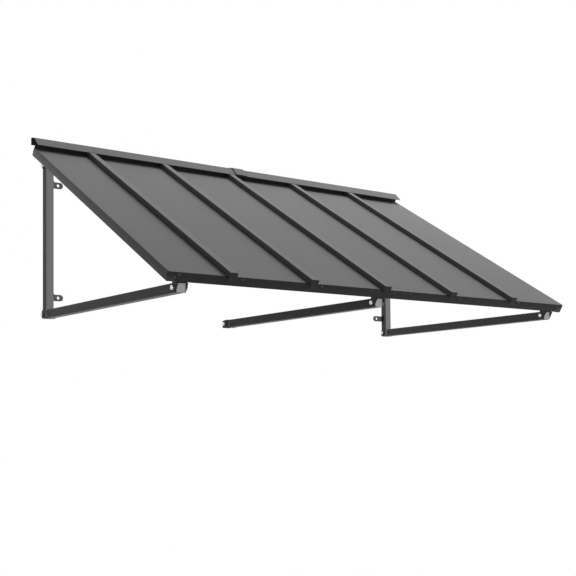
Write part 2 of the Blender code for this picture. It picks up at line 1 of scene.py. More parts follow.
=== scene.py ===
# %% [markdown]
# # A metal awning with a standing seam roof
# This lesson dresses a finished construction model. The model comes in as a fixed frame of
# solids: roof pans, battens, flashing, square tubes, brackets and bolts. The lesson adds the
# camera, the light, the surface finishes and the small hardware that the solids leave out.
#
# The frame is loaded first.

# %% Load the frame
from math import cos, pi, radians, sin, tan

import bmesh
import bpy
from mathutils import Matrix, Vector


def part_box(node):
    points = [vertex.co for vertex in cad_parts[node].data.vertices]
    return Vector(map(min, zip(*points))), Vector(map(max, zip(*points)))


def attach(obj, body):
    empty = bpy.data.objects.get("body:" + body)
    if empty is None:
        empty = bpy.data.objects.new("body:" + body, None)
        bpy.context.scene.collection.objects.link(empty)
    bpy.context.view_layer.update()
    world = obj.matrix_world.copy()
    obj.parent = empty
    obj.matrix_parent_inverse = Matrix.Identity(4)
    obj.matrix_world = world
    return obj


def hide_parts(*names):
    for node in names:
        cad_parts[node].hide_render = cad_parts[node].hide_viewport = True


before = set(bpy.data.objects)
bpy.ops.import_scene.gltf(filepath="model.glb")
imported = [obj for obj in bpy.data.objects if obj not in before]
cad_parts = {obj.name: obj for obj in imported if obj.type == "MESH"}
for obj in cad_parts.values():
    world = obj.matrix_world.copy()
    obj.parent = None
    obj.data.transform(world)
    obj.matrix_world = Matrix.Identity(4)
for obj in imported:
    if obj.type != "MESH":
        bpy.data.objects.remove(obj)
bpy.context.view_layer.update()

scene = bpy.context.scene
scene.view_settings.view_transform = "Standard"
print("nodes", len(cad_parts))

# %% [markdown]
# ## The camera
# The picture was taken from low down, in front of the awning and to its left. The lens stays
# nearly level, so the posts stand upright in the picture, and the frame is shifted up instead
# of tilting the camera. Blender has the same control: Shift Y moves the picture's window and
# leaves the vertical lines parallel, which tilting the camera would not do.

# %% Camera
CAMERA_PLACE = Vector((-2.4637, -3.1525, -0.3867))
CAMERA_YAW = 0.6444
CAMERA_PITCH = 0.0527
CAMERA_ROLL = -0.0116
CAMERA_LENS = 68.86
CAMERA_SHIFT = 0.1372

ahead = Vector((
    sin(CAMERA_YAW) * cos(CAMERA_PITCH),
    cos(CAMERA_YAW) * cos(CAMERA_PITCH),
    sin(CAMERA_PITCH),
))
level_right = Vector((cos(CAMERA_YAW), -sin(CAMERA_YAW), 0.0))
level_up = level_right.cross(ahead)
right = level_right * cos(CAMERA_ROLL) + level_up * sin(CAMERA_ROLL)
up = level_up * cos(CAMERA_ROLL) - level_right * sin(CAMERA_ROLL)

camera_data = bpy.data.cameras.new("camera")
camera_data.lens = CAMERA_LENS
camera_data.sensor_width = 36.0
camera_data.shift_y = CAMERA_SHIFT
camera = bpy.data.objects.new("camera", camera_data)
turn = Matrix((right, up, -ahead)).transposed().to_4x4()
camera.matrix_world = Matrix.Translation(CAMERA_PLACE) @ turn
scene.collection.objects.link(camera)
scene.camera = camera
print("camera looks", [round(v, 3) for v in ahead])

# %% [markdown]
# ## Helpers for modelling
# Every new piece is modelled at the origin, with the tools a hand would use: a primitive is
# added, and its faces are picked by where they lie, then extruded, inset or bevelled. A
# finished model is copied to each place it is needed, with the place written into the copy's
# own mesh, so that a pattern in its material doesn't slide.

# %% Modelling helpers
def rest():
    """Leave edit mode and select nothing."""
    if bpy.context.mode != "OBJECT":
        bpy.ops.object.mode_set(mode="OBJECT")
    bpy.ops.object.select_all(action="DESELECT")


def edit(model):
    """Go into edit mode on one object, with nothing picked."""
    rest()
    bpy.context.view_layer.objects.active = model
    model.select_set(True)
    bpy.ops.object.mode_set(mode="EDIT")
    bpy.ops.mesh.select_mode(type="FACE")
    bpy.ops.mesh.select_all(action="DESELECT")


def begun(name):
    """Name the primitive just added, and move its place into its mesh."""
    model = bpy.context.object
    model.name = name
    bpy.context.view_layer.update()
    model.data.transform(model.matrix_world)
    model.matrix_world = Matrix.Identity(4)
    return model


def pick_faces(wanted):
    """In edit mode, select the faces whose middle and normal pass a test."""
    mesh = bmesh.from_edit_mesh(bpy.context.object.data)
    bpy.ops.mesh.select_mode(type="FACE")
    bpy.ops.mesh.select_all(action="DESELECT")
    for face in mesh.faces:
        face.select_set(wanted(face.calc_center_median(), face.normal))
    bmesh.update_edit_mesh(bpy.context.object.data)


def pick_edges(wanted):
    """In edit mode, select the edges whose two ends pass a test."""
    bpy.ops.mesh.select_mode(type="EDGE")
    mesh = bmesh.from_edit_mesh(bpy.context.object.data)
    bpy.ops.mesh.select_all(action="DESELECT")
    for edge in mesh.edges:
        edge.select_set(wanted(edge.verts[0].co, edge.verts[1].co))
    bmesh.update_edit_mesh(bpy.context.object.data)


def apply_all(model):
    """Apply every modifier, in order."""
    rest()
    bpy.context.view_layer.objects.active = model
    model.select_set(True)
    for modifier in list(model.modifiers):
        bpy.ops.object.modifier_apply(modifier=modifier.name)


def smooth(model, angle=30):
    """Round shading, with edges sharper than the angle kept crisp."""
    rest()
    bpy.context.view_layer.objects.active = model
    model.select_set(True)
    bpy.ops.object.shade_smooth_by_angle(angle=radians(angle))
    rest()


made = []


def put(model, name, matrix, body, material):
    """A copy of a model with its place in its mesh, riding on a body."""
    mesh = model.data.copy()
    mesh.transform(matrix)
    mesh.materials.clear()
    mesh.materials.append(material)
    piece = bpy.data.objects.new(name, mesh)
    scene.collection.objects.link(piece)
    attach(piece, body)
    made.append(piece)
    return piece


def drop(model):
    """Remove a model whose copies are in place."""
    bpy.data.objects.remove(model, do_unlink=True)


print("helpers ready")

# %% [markdown]
# ## Places on the awning
# The small hardware sits on the sloping roof and its rail, so it is placed in the roof's own
# axes: along the wall, up the slope and square to the sheet. The corner of those axes is worked
# out from the front rail, whose section is a square with its top on the frame's top plane.

# %% Roof axes
ROOF_PITCH = radians(30.9)
TUBE = 0.030
SHEET = 0.0010
GAP = 0.0003

rail_low, rail_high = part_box("front_rail_left")
rail_middle = (rail_low + rail_high) / 2
slope = Vector((0.0, cos(ROOF_PITCH), sin(ROOF_PITCH)))
lift = Vector((0.0, -sin(ROOF_PITCH), cos(ROOF_PITCH)))
along_wall = Vector((1.0, 0.0, 0.0))
front_corner = Vector((0.0, rail_middle.y, rail_middle.z)) - slope * TUBE / 2 + lift * TUBE / 2


def on_roof(x, up_slope, above):
    """World place of a point given in the roof's axes."""
    return front_corner + along_wall * x + slope * up_slope + lift * above


def facing(place, outward, level=along_wall):
    """Matrix that puts a model's origin on a place, its +Z along a direction."""
    z_axis = outward.normalized()
    x_axis = (level - z_axis * level.dot(z_axis)).normalized()
    y_axis = z_axis.cross(x_axis)
    return Matrix.Translation(place) @ Matrix((x_axis, y_axis, z_axis)).transposed().to_4x4()


seams = [(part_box(f"seam_batten_{n}")[0].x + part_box(f"seam_batten_{n}")[1].x) / 2 for n in range(1, 6)]
print("front corner", [round(v, 4) for v in front_corner], "seams", [round(x, 4) for x in seams])

# %% [markdown]
# ## Surface effects as node groups
# All the steel here has the same skin of powder coat, but a roof pan, a tube and a moulded
# plug each show it at another strength. A node group is built once and placed in each
# material with its own values. It puts out a colour, a roughness and a height, and the shader
# itself stays in the material.

# %% Powder coat group
def new_group(name, inputs, outputs):
    """A shader node group with named sockets, and its input and output nodes."""
    group = bpy.data.node_groups.new(name, "ShaderNodeTree")
    for label, kind, value in inputs:
        socket = group.interface.new_socket(label, in_out="INPUT", socket_type=kind)
        socket.default_value = value
    for label, kind in outputs:
        group.interface.new_socket(label, in_out="OUTPUT", socket_type=kind)
    return group, group.nodes.new("NodeGroupInput"), group.nodes.new("NodeGroupOutput")


def maths(group, operation, first, second, third=None):
    """A Math node fed by sockets or numbers; its result socket."""
    node = group.nodes.new("ShaderNodeMath")
    node.operation = operation
    for index, value in enumerate((first, second, third)):
        if value is None:
            continue
        if isinstance(value, (int, float)):
            node.inputs[index].default_value = value
        else:
            group.links.new(value, node.inputs[index])
    return node.outputs[0]


def noise(group, vector, scale, detail=2.0, roughness=0.5):
    """A Noise Texture read at a vector; its factor socket."""
    node = group.nodes.new("ShaderNodeTexNoise")
    node.inputs["Detail"].default_value = detail
    node.inputs["Roughness"].default_value = roughness
    group.links.new(vector, node.inputs["Vector"])
    if isinstance(scale, (int, float)):
        node.inputs["Scale"].default_value = scale
    else:
        group.links.new(scale, node.inputs["Scale"])
    return node.outputs[0]


def centred(group, value):
    """A noise factor moved to swing about zero."""
    return maths(group, "SUBTRACT", value, 0.5)


def dimmed(group, colour, factor):
    """A colour scaled by a factor; the result socket."""
    node = group.nodes.new("ShaderNodeVectorMath")
    node.operation = "SCALE"
    group.links.new(colour, node.inputs[0])
    group.links.new(factor, node.inputs["Scale"])
    return node.outputs[0]


CLOUD_SCALE = 5.0
FLECK_SCALE = 1400.0
PEEL_SCALE = 420.0
DUST_SCALE = 38.0
RIPPLE_STRETCH = (9.0, 1.6, 1.6)
DUST_COLOUR = (0.42, 0.41, 0.39, 1.0)
FLECK_IN_COLOUR = 0.10
CLOUD_IN_ROUGHNESS = 0.10
FLECK_IN_ROUGHNESS = 0.08
PEEL_HEIGHT = 0.00005
RIPPLE_HEIGHT = 0.001


def powder_coat_group():
    """Colour, roughness and height of a sprayed and baked coat."""
    group, source, result = new_group(
        "powder coat",
        [("Colour", "NodeSocketColor", (0.1, 0.1, 0.1, 1.0)), ("Roughness", "NodeSocketFloat", 0.45),
         ("Cloud", "NodeSocketFloat", 0.05), ("Peel", "NodeSocketFloat", 0.5),
         ("Ripple", "NodeSocketFloat", 0.0), ("Dust", "NodeSocketFloat", 0.02)],
        [("Colour", "NodeSocketColor"), ("Roughness", "NodeSocketFloat"), ("Height", "NodeSocketFloat")],
    )
    place = group.nodes.new("ShaderNodeTexCoord").outputs["Object"]
    cloud = centred(group, noise(group, place, CLOUD_SCALE, 3.0))
    fleck = centred(group, noise(group, place, FLECK_SCALE, 1.0))
    peel = centred(group, noise(group, place, PEEL_SCALE, 2.0))

    drawn = group.nodes.new("ShaderNodeMapping")
    drawn.inputs["Rotation"].default_value = (-ROOF_PITCH, 0.0, 0.0)
    drawn.inputs["Scale"].default_value = RIPPLE_STRETCH
    group.links.new(place, drawn.inputs["Vector"])
    ripple = centred(group, noise(group, drawn.outputs["Vector"], 1.0, 2.0))

    normal = group.nodes.new("ShaderNodeNewGeometry").outputs["Normal"]
    split = group.nodes.new("ShaderNodeSeparateXYZ")
    group.links.new(normal, split.inputs[0])
    upward = maths(group, "MAXIMUM", split.outputs["Z"], 0.0)
    settled = maths(group, "MULTIPLY", maths(group, "MULTIPLY", upward, source.outputs["Dust"]),
                    noise(group, place, DUST_SCALE, 4.0, 0.6))

    swing = maths(group, "MULTIPLY_ADD", cloud, source.outputs["Cloud"],
                  maths(group, "MULTIPLY_ADD", fleck, FLECK_IN_COLOUR, 1.0))
    dusted = group.nodes.new("ShaderNodeMix")
    dusted.data_type = "RGBA"
    dusted.inputs["B"].default_value = DUST_COLOUR
    group.links.new(settled, dusted.inputs["Factor"])
    group.links.new(dimmed(group, source.outputs["Colour"], swing), dusted.inputs["A"])
    group.links.new(dusted.outputs["Result"], result.inputs["Colour"])

    rough = maths(group, "MULTIPLY_ADD", cloud, CLOUD_IN_ROUGHNESS, source.outputs["Roughness"])
    rough = maths(group, "MULTIPLY_ADD", fleck, FLECK_IN_ROUGHNESS, rough)
    group.links.new(maths(group, "ADD", rough, settled), result.inputs["Roughness"])

    fine = maths(group, "MULTIPLY", maths(group, "MULTIPLY", peel, source.outputs["Peel"]), PEEL_HEIGHT)
    wide = maths(group, "MULTIPLY", maths(group, "MULTIPLY", ripple, source.outputs["Ripple"]),
                 RIPPLE_HEIGHT)
    group.links.new(maths(group, "ADD", fine, wide), result.inputs["Height"])
    return group


coat_effect = powder_coat_group()
print("powder coat group has", len(coat_effect.nodes), "nodes")

# %% [markdown]
# ## Coated steel
# The awning is coated in one neutral grey. To match the picture it is set a touch lighter on
# the battens and the flashing, which is painted light, and darker on the small wall clips, which
# is painted shade. The pans are wide, thin sheets, so they get a faint ripple that only shows
# where the light grazes them. The flashing and the battens get less of it, and the stiff tubes
# get none. Each material is the same group with other values, feeding one Principled shader and
# a Bump node.

# %% Coat materials
def surface(name, effect, values, metallic=0.0, specular=None):
    """A material whose colour, roughness and bump come from one effect group."""
    material = bpy.data.materials.new(name)
    material.use_nodes = True
    tree = material.node_tree
    shader = tree.nodes["Principled BSDF"]
    shader.inputs["Metallic"].default_value = metallic
    if specular is not None:
        shader.inputs["Specular IOR Level"].default_value = specular
    skin = tree.nodes.new("ShaderNodeGroup")
    skin.node_tree = effect
    for label, value in values.items():
        skin.inputs[label].default_value = value
    bump = tree.nodes.new("ShaderNodeBump")
    bump.inputs["Distance"].default_value = 1.0
    tree.links.new(skin.outputs["Height"], bump.inputs["Height"])
    tree.links.new(bump.outputs["Normal"], shader.inputs["Normal"])
    tree.links.new(skin.outputs["Colour"], shader.inputs["Base Color"])
    tree.links.new(skin.outputs["Roughness"], shader.inputs["Roughness"])
    return material


def coated(name, colour, roughness, cloud, peel, ripple, dust, specular=0.12):
    """A powder coated surface made from the shared group."""
    values = {"Colour": (*colour, 1.0), "Roughness": roughness, "Cloud": cloud,
              "Peel": peel, "Ripple": ripple, "Dust": dust}
    return surface(name, coat_effect, values, specular=specular)


COAT = (0.160, 0.160, 0.162)
# The battens get a lighter copy of the coat: painted light, for the light their tops catch.
BATTEN_COAT_WITH_PAINTED_LIGHT = (0.178, 0.178, 0.180)
# The flashing gets a lighter copy of the coat too: painted light, for its more brightly lit face.
FLASHING_COAT_WITH_PAINTED_LIGHT = (0.193, 0.193, 0.195)
# The wall clips get a darker copy of the coat: painted shade, for the shade they sit in.
CLIP_COAT_WITH_PAINTED_SHADE = (0.085, 0.085, 0.086)
sheet_coat = coated("sheet coat", COAT, roughness=0.50, cloud=0.10, peel=0.6,
                    ripple=0.35, dust=0.06, specular=0.10)
flashing_coat_with_painted_light = coated("flashing coat with painted light", FLASHING_COAT_WITH_PAINTED_LIGHT, roughness=0.50, cloud=0.10, peel=0.6,
                       ripple=0.2, dust=0.06, specular=0.10)
batten_coat_with_painted_light = coated("batten coat with painted light", BATTEN_COAT_WITH_PAINTED_LIGHT, roughness=0.46, cloud=0.10, peel=0.8,
                     ripple=0.1, dust=0.06)
tube_coat = coated("tube coat", COAT, roughness=0.45, cloud=0.08, peel=1.0,
                   ripple=0.0, dust=0.05)
bracket_coat = coated("bracket coat", COAT, roughness=0.48, cloud=0.12, peel=1.2,
                      ripple=0.0, dust=0.04)
clip_coat_with_painted_shade = coated("clip coat with painted shade", CLIP_COAT_WITH_PAINTED_SHADE, roughness=0.48, cloud=0.12, peel=1.2,
                   ripple=0.0, dust=0.04)
print("coats", sheet_coat.name, tube_coat.name, bracket_coat.name)

# %% [markdown]
# ## Moulded plugs and plated bolts
# The plugs in the arms are a lighter grey plastic with the fine texture of a spark-eroded
# mould. Part of that lightness is painted light, which makes up for the shade under the rail.
# The bolts are zinc plated: bright metal whose polish varies in small patches, with fine turning
# lines round the axis.

# %% Plastic and zinc groups
GRAIN_SCALE = 2200.0
FLOW_SCALE = 90.0
GRAIN_IN_COLOUR = 0.12
FLOW_IN_COLOUR = 0.14
GRAIN_IN_ROUGHNESS = 0.2
GRAIN_HEIGHT = 0.00004
PATCH_SCALE = 260.0
TURNING_STRETCH = (3200.0, 160.0, 160.0)
PATCH_IN_COLOUR = 0.25
PATCH_IN_ROUGHNESS = 0.3
TURNING_IN_ROUGHNESS = 0.1
TURNING_HEIGHT = 0.00002


def plastic_group():
    """Grain of a textured mould."""
    group, source, result = new_group(
        "moulded grain",
        [("Colour", "NodeSocketColor", (0.2, 0.2, 0.2, 1.0)), ("Roughness", "NodeSocketFloat", 0.55)],
        [("Colour", "NodeSocketColor"), ("Roughness", "NodeSocketFloat"), ("Height", "NodeSocketFloat")],
    )
    place = group.nodes.new("ShaderNodeTexCoord").outputs["Object"]
    grain = centred(group, noise(group, place, GRAIN_SCALE, 2.0, 0.7))
    flow = centred(group, noise(group, place, FLOW_SCALE, 3.0))
    swing = maths(group, "MULTIPLY_ADD", flow, FLOW_IN_COLOUR,
                  maths(group, "MULTIPLY_ADD", grain, GRAIN_IN_COLOUR, 1.0))
    rough = maths(group, "MULTIPLY_ADD", grain, GRAIN_IN_ROUGHNESS, source.outputs["Roughness"])
    group.links.new(dimmed(group, source.outputs["Colour"], swing), result.inputs["Colour"])
    group.links.new(rough, result.inputs["Roughness"])
    group.links.new(maths(group, "MULTIPLY", grain, GRAIN_HEIGHT), result.inputs["Height"])
    return group


def zinc_group():
    """Patches and scratches of a bright zinc plate."""
    group, source, result = new_group(
        "zinc plate",
        [("Colour", "NodeSocketColor", (0.7, 0.7, 0.7, 1.0)), ("Roughness", "NodeSocketFloat", 0.28)],
        [("Colour", "NodeSocketColor"), ("Roughness", "NodeSocketFloat"), ("Height", "NodeSocketFloat")],
    )
    place = group.nodes.new("ShaderNodeTexCoord").outputs["Object"]
    patch = centred(group, noise(group, place, PATCH_SCALE, 3.0, 0.6))
    turned = group.nodes.new("ShaderNodeMapping")
    turned.inputs["Scale"].default_value = TURNING_STRETCH
    group.links.new(place, turned.inputs["Vector"])
    lines = centred(group, noise(group, turned.outputs["Vector"], 1.0, 1.0))
    swing = maths(group, "MULTIPLY_ADD", patch, PATCH_IN_COLOUR, 1.0)
    rough = maths(group, "MULTIPLY_ADD", patch, PATCH_IN_ROUGHNESS, source.outputs["Roughness"])
    rough = maths(group, "MULTIPLY_ADD", lines, TURNING_IN_ROUGHNESS, rough)
    group.links.new(dimmed(group, source.outputs["Colour"], swing), result.inputs["Colour"])
    group.links.new(rough, result.inputs["Roughness"])
    group.links.new(maths(group, "MULTIPLY", lines, TURNING_HEIGHT), result.inputs["Height"])
    return group


def grouped(name, effect, colour, roughness, metallic):
    """A plastic or metal finish with its own colour, roughness and metallic value."""
    return surface(name, effect, {"Colour": (*colour, 1.0), "Roughness": roughness}, metallic)


mould_effect = plastic_group()
zinc_effect = zinc_group()
# The pale plugs' grey is partly painted light, lifted to make up for the shade under the rail.
pale_plastic_with_painted_light = grouped("pale plug plastic with painted light", mould_effect, (0.23, 0.23, 0.23), 0.5, 0.0)
dark_plastic = grouped("dark plug plastic", mould_effect, (0.042, 0.042, 0.043), 0.55, 0.0)
zinc = grouped("bright zinc", zinc_effect, (0.74, 0.74, 0.75), 0.28, 1.0)
screw_steel = grouped("blackened screw steel", zinc_effect, (0.13, 0.13, 0.13), 0.50, 0.25)
# This dark material serves the real sealant dabs, and also the strap's edge line, which is painted
# shadow.
sealant_and_painted_shadow = grouped("dark sealant and painted shadow", mould_effect, (0.020, 0.020, 0.021), 0.42, 0.0)
print("finishes", [m.name for m in (pale_plastic_with_painted_light, dark_plastic, zinc, screw_steel, sealant_and_painted_shadow)])

# %% [markdown]
# ## Finishes on the frame's solids
# A solid keeps its mesh and gets a better material in its slots. The name of a solid says
# what it is made from, so a short list of name starts is enough to dress all of them.

# %% Dress the solids
FINISHES = (
    (("roof_pan",), sheet_coat),
    (("flashing",), flashing_coat_with_painted_light),
    (("seam_batten",), batten_coat_with_painted_light),
    (("rafter_plug", "post_plug"), dark_plastic),
    (("arm_plug",), pale_plastic_with_painted_light),
    (("wall_clip",), clip_coat_with_painted_shade),
    (("header_bracket", "rail_bracket", "centre_wall_bracket"), bracket_coat),
    (("pivot_bolt",), zinc),
    (("rafter", "front_rail", "header", "post", "arm", "batten_cap"), tube_coat),
)


def finish_for(name):
    """The first finish whose name start fits."""
    return next(material for starts, material in FINISHES if name.startswith(starts))


for name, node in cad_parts.items():
    node.data.materials.clear()
    node.data.materials.append(finish_for(name))
print("dressed", len(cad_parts), "solids")

# %% [markdown]
# ## Pivot bolts
# Each joint is held by a hexagon bolt with a washer under its head, and a washer, a nut and a
# short tail of thread on the other side. The solids hold these fused into one piece, with no
# thread. Here each gets its own form, at the sizes of an 8 mm bolt. A hexagon with turned
# corners is what a six-sided cylinder and a shallow cone have in common. The washers are dark
# plastic, so they are a piece of their own.

# %% Hexagon blocks
BOLT_RADIUS = 0.0040
BOLT_HEAD = 0.0053
BOLT_FLATS = 0.0130
BOLT_TAIL = 0.0020
THREAD_PITCH = 0.00125
THREAD_DEPTH = 0.0005
WASHER_RADIUS = 0.0080
WASHER_BORE = 0.0042
WASHER_THICKNESS = 0.0016
NUT_HEIGHT = 0.0065
HEX_CORNER = BOLT_FLATS / 2 / cos(pi / 6)
CHAMFER_SLOPE = tan(radians(28))
CHAMFER_TOP = BOLT_FLATS / 2 * 0.97
CHAMFER_OVERRUN = 0.001
DISH_RIM = 0.0016
DISH_WALL = 0.0006
DISH_DEPTH = 0.0005
WASHER_EDGE = 0.0002
BORE_CLEARANCE = 0.0001
SHANK_IN_HEAD = 0.001
TIP_INSET = 0.0008
TIP_DROP = 0.0002
THREAD_TURNS = 9
THREAD_OFF_TIP = 0.0008
THREAD_SINK = 0.0002
THREAD_STEPS = 28
BOLT_SMOOTHING = 35


def hexagon_block(name, height):
    """A hexagonal block standing on z = 0, with its corners turned off at the top."""
    rest()
    bpy.ops.mesh.primitive_cylinder_add(vertices=6, radius=HEX_CORNER, depth=height,
                                        location=(0.0, 0.0, height / 2))
    block = begun(name)
    depth = height + CHAMFER_OVERRUN
    rest()
    bpy.ops.mesh.primitive_cone_add(vertices=48, radius1=CHAMFER_TOP + depth / CHAMFER_SLOPE,
                                    radius2=CHAMFER_TOP, depth=depth,
                                    location=(0.0, 0.0, (height - CHAMFER_OVERRUN) / 2))
    cone = begun("cone")
    trim = block.modifiers.new("Turned corners", "BOOLEAN")
    trim.operation = "INTERSECT"
    trim.solver = "EXACT"
    trim.object = cone
    apply_all(block)
    drop(cone)
    return block


def bolt_head():
    """The head: a hexagon block whose top is dished."""
    head = hexagon_block("bolt_head", BOLT_HEAD)
    edit(head)
    pick_faces(lambda place, normal: normal.z > 0.99 and place.z > BOLT_HEAD * 0.9)
    bpy.ops.mesh.inset(thickness=DISH_RIM)
    bpy.ops.mesh.inset(thickness=DISH_WALL, depth=-DISH_DEPTH)
    rest()
    return head


print("hexagon corners at", round(HEX_CORNER * 1000, 2), "mm")

# %% Washer, nut and shank
def make_ring(block, inset):
    """Turn a flat-ended block into a ring: inset both ends and bridge the holes."""
    edit(block)
    pick_faces(lambda place, normal: abs(normal.z) > 0.99)
    bpy.ops.mesh.inset(thickness=inset)
    pick_faces(lambda place, normal: abs(normal.z) > 0.99 and Vector((place.x, place.y)).length < 0.0005)
    bpy.ops.mesh.bridge_edge_loops()
    rest()


def washer():
    """A flat washer from z = 0, with its edges broken."""
    bpy.ops.mesh.primitive_cylinder_add(vertices=48, radius=WASHER_RADIUS, depth=WASHER_THICKNESS,
                                        location=(0.0, 0.0, WASHER_THICKNESS / 2))
    ring = begun("washer")
    make_ring(ring, WASHER_RADIUS - WASHER_BORE)
    edge = ring.modifiers.new("Broken edges", "BEVEL")
    edge.width = WASHER_EDGE
    edge.segments = 2
    edge.limit_method = "ANGLE"
    apply_all(ring)
    return ring


def nut():
    """A hexagon nut from z = 0, bored through."""
    block = hexagon_block("nut", NUT_HEIGHT)
    rest()
    bpy.ops.mesh.primitive_cylinder_add(vertices=36, radius=BOLT_RADIUS + BORE_CLEARANCE,
                                        depth=NUT_HEIGHT * 3)
    bore = begun("bore")
    hole = block.modifiers.new("Bore", "BOOLEAN")
    hole.operation = "DIFFERENCE"
    hole.solver = "EXACT"
    hole.object = bore
    apply_all(block)
    drop(bore)
    return block


def shank(length):
    """A plain bar from z = 0 down to its tail, its tip chamfered."""
    rest()
    bpy.ops.mesh.primitive_cylinder_add(vertices=36, radius=BOLT_RADIUS - THREAD_DEPTH, depth=length,
                                        location=(0.0, 0.0, -length / 2))
    bar = begun("shank")
    edit(bar)
    pick_faces(lambda place, normal: normal.z < -0.99)
    bpy.ops.mesh.inset(thickness=TIP_INSET, depth=0.0)
    bpy.ops.transform.translate(value=(0.0, 0.0, -TIP_DROP))
    rest()
    return bar


def thread(turns, top):
    """A raised helix: one tooth's outline carried round by the Screw modifier."""
    rest()
    bpy.ops.mesh.primitive_plane_add(size=1.0)
    tooth = begun("thread")
    inner = BOLT_RADIUS - THREAD_DEPTH - THREAD_SINK
    corners = ((inner, -0.49), (BOLT_RADIUS, -0.08), (inner, 0.49), (BOLT_RADIUS, 0.08))
    for vertex, (radius, share) in zip(tooth.data.vertices, corners):
        vertex.co = (radius, 0.0, top + share * THREAD_PITCH)
    turn = tooth.modifiers.new("Helix", "SCREW")
    turn.angle = 2 * pi * turns
    turn.screw_offset = -THREAD_PITCH * turns
    turn.steps = THREAD_STEPS * turns
    turn.render_steps = turn.steps
    turn.use_merge_vertices = False
    apply_all(tooth)
    edit(tooth)
    bpy.ops.mesh.select_all(action="SELECT")
    bpy.ops.mesh.remove_doubles(threshold=0.000001)
    bpy.ops.mesh.fill_holes(sides=0)
    bpy.ops.mesh.select_all(action="SELECT")
    bpy.ops.mesh.normals_make_consistent(inside=False)
    rest()
    return tooth


print("washer", WASHER_RADIUS, "nut", NUT_HEIGHT, "thread pitch", THREAD_PITCH)

# %% Assemble the bolts
def join(parts, name):
    """Join models into one object."""
    rest()
    for part in parts:
        part.select_set(True)
    bpy.context.view_layer.objects.active = parts[0]
    bpy.ops.object.join()
    whole = bpy.context.object
    whole.name = name
    rest()
    return whole


def move(model, height, flip=False):
    """Slide a model along Z, first turned upside down if asked."""
    turn = Matrix.Rotation(pi, 4, "X") if flip else Matrix.Identity(4)
    model.data.transform(Matrix.Translation((0.0, 0.0, height)) @ turn)
    return model


def bolt_model(half_grip):
    """A tightened bolt centred on what it clamps: its head towards +Z, its nut towards -Z."""
    seat = half_grip + GAP
    under_head = seat + WASHER_THICKNESS
    tip = under_head + NUT_HEIGHT + BOLT_TAIL
    shank_top = under_head + SHANK_IN_HEAD
    parts = [
        move(bolt_head(), under_head),
        move(nut(), -under_head, flip=True),
        move(shank(shank_top + tip - TIP_DROP), shank_top),
        thread(THREAD_TURNS, THREAD_OFF_TIP - tip + THREAD_TURNS * THREAD_PITCH),
    ]
    washers = join([move(washer(), seat), move(washer(), -seat, flip=True)], "washer_model")
    return join(parts, "bolt_model"), washers


bolt_names = sorted(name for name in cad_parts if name.startswith("pivot_bolt"))
bodies = {"pivot_bolt_centre_wall": "centre_arm"}
covers = 2 * (GAP + WASHER_THICKNESS) + BOLT_HEAD + NUT_HEIGHT + BOLT_TAIL
grips = {}
for name in bolt_names:
    low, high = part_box(name)
    half_grip = round((high.x - low.x - covers) / 2, 5)
    centre = (low + high) / 2
    centre.x = low.x + BOLT_HEAD + WASHER_THICKNESS + GAP + half_grip
    grips.setdefault(half_grip, []).append((name, centre))

for half_grip, places in sorted(grips.items()):
    model, washers = bolt_model(half_grip)
    smooth(model, BOLT_SMOOTHING)
    smooth(washers, BOLT_SMOOTHING)
    for name, centre in places:
        across = facing(centre, -along_wall, Vector((0.0, 0.0, 1.0)))
        body = bodies.get(name, "frame")
        bolt = put(model, name + "_detailed", across, body, zinc)
        put(washers, name + "_washers", across, body, dark_plastic)
        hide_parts(name)
    print("bolts with half grip", half_grip, ":", len(places))
    drop(model)
    drop(washers)

# %% [markdown]
# ## Screws in the rail
# Small screws hold the front folds of the pans to the rail, and one sits in each rafter's front
# plug. Each is a low round head with a cross recess. One is modelled by rounding the top edge
# of a cylinder and cutting a tapered cross out of it, and it is then copied to its places.

# %% Screw model
SCREW_RADIUS = 0.0040
SCREW_HEIGHT = 0.0022
SCREW_ROUNDING = 0.0013
RECESS_LENGTH = 1.1
RECESS_WIDTH = 0.22
RECESS_DEPTH = 1.2
RECESS_TAPER = 0.55


def screw_model(radius, height, rounding):
    """A screw head from z = 0, with a cross recess in its top."""
    rest()
    bpy.ops.mesh.primitive_cylinder_add(vertices=32, radius=radius, depth=height,
                                        location=(0.0, 0.0, height / 2))
    head = begun("screw_model")
    edit(head)
    pick_edges(lambda a, b: a.z > height * 0.9 and b.z > height * 0.9)
    bpy.ops.mesh.bevel(offset=rounding, segments=4, profile=0.5)
    rest()
    long, short = radius * RECESS_LENGTH, radius * RECESS_WIDTH
    arms = []
    for length, width in ((long, short), (short, long)):
        bpy.ops.mesh.primitive_cube_add(size=1.0, location=(0.0, 0.0, height),
                                        scale=(length, width, height * RECESS_DEPTH))
        arm = begun("recess_arm")
        edit(arm)
        pick_faces(lambda place, normal: normal.z < -0.9)
        bpy.ops.transform.resize(value=(RECESS_TAPER, RECESS_TAPER, 1.0))
        rest()
        arms.append(arm)
    for arm in arms:
        recess = head.modifiers.new("Recess", "BOOLEAN")
        recess.operation = "DIFFERENCE"
        recess.solver = "EXACT"
        recess.object = arm
    apply_all(head)
    for arm in arms:
        drop(arm)
    smooth(head, 40)
    return head


round_screw = screw_model(SCREW_RADIUS, SCREW_HEIGHT, SCREW_ROUNDING)
print("round head", len(round_screw.data.polygons), "faces")

# %% Screws along the rail
INCH = 0.0254
MIDDLE_OF_FOLD = -0.0066
RAIL_SCREWS = (-32.5, -23.8, -11.9, -3.75, -2.6, 0.15, 1.9, 2.9, 12.2, 24.2, 32.5)

fold_face = -(GAP + SHEET)
for number, inches in enumerate(RAIL_SCREWS):
    place = on_roof(inches * INCH, fold_face, MIDDLE_OF_FOLD)
    put(round_screw, f"rail_screw_{number + 1}", facing(place, -slope), "frame", screw_steel)

